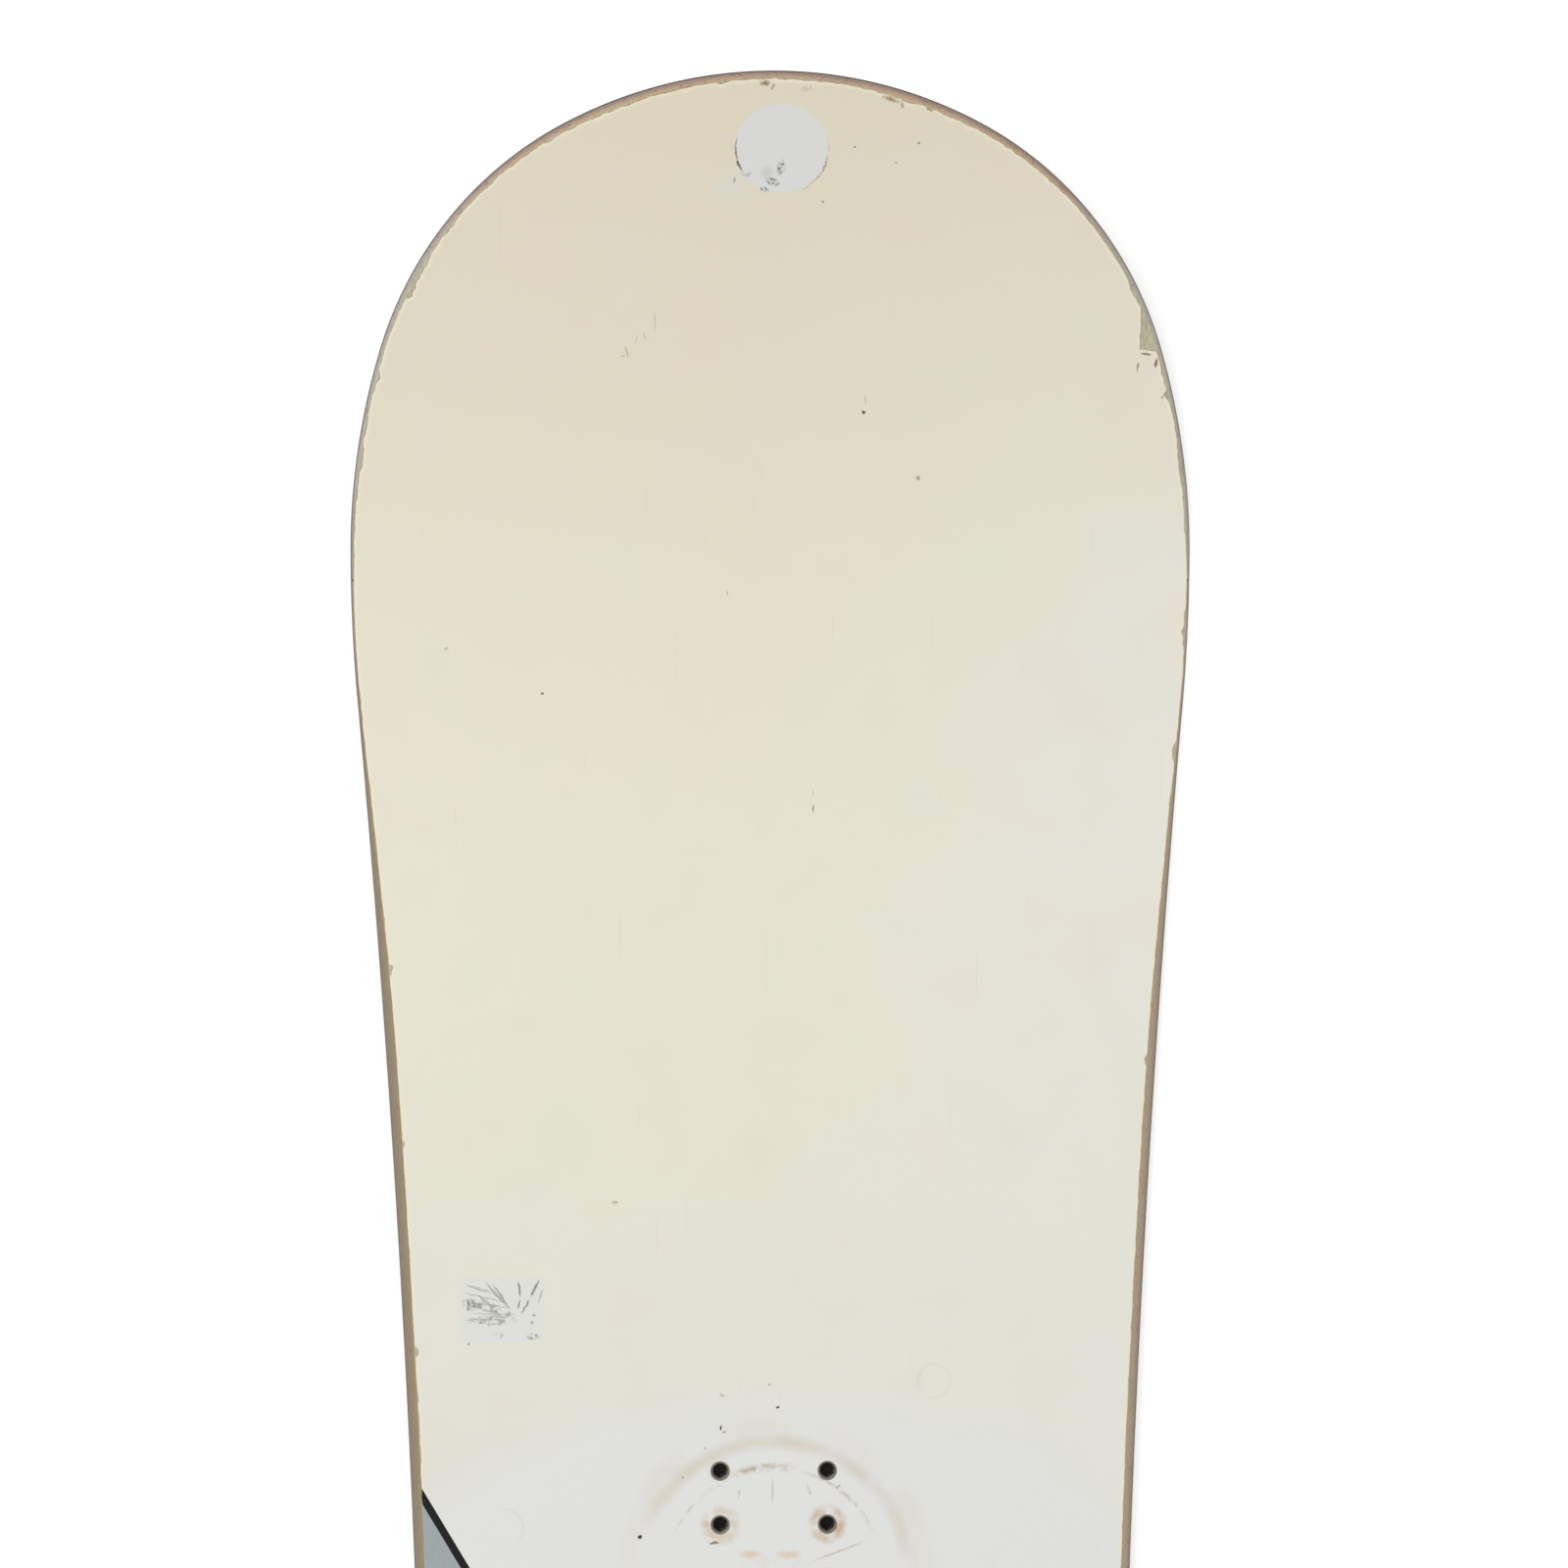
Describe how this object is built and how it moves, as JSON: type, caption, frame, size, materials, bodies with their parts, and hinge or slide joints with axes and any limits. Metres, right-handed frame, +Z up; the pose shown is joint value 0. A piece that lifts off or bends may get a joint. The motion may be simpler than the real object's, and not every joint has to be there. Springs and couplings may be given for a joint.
{
  "type": "snowboard",
  "caption": "Bare wide directional snowboard deck with upturned nose and tail, camber, steel edges, bevelled sidewalls, laminated wood core and open threaded binding inserts.",
  "frame": {"origin": "on the floor under the middle of the board's length and width; the base touches the floor along its nose and tail contact lines", "axes": "+X towards the nose, +Y to the left looking at the nose, +Z up out of the deck side"},
  "size_m": [1.593, 0.3154, 0.052],
  "materials": {
    "topsheet": "satin, scratched",
    "running_base": "stone-ground",
    "edge_steel": "ground, dulled",
    "damping_rubber": "matte",
    "sidewall_plastic": "milled",
    "glass_laminate": "cured resin",
    "glass_mat": "resin-filled glass",
    "insert_steel": "turned",
    "cap_plastic": "moulded",
    "core_poplar": "planed",
    "core_beech": "planed"
  },
  "bodies": {
    "root": {"base_sheet": "running_base", "lower_laminate": "glass_laminate", "upper_laminate": "glass_laminate", "steel_edge_left": "edge_steel", "steel_edge_right": "edge_steel", "edge_rubber_left": "damping_rubber", "edge_rubber_right": "damping_rubber", "sidewall_left": "sidewall_plastic", "sidewall_right": "sidewall_plastic", "nose_spacer": "sidewall_plastic", "tail_spacer": "sidewall_plastic", "front_binding_mat": "glass_mat", "rear_binding_mat": "glass_mat", "front_inserts": "insert_steel", "rear_inserts": "insert_steel", "front_insert_caps": "cap_plastic", "rear_insert_caps": "cap_plastic", "topsheet": "topsheet", "core_stringer_01": "core_poplar", "core_stringer_02": "core_poplar", "core_stringer_03": "core_beech", "core_stringer_04": "core_poplar", "core_stringer_05": "core_beech", "core_stringer_06": "core_poplar", "core_stringer_07": "core_beech", "core_stringer_08": "core_poplar", "core_stringer_09": "core_beech", "core_stringer_10": "core_poplar", "core_stringer_11": "core_poplar"}
  },
  "joints": []
}
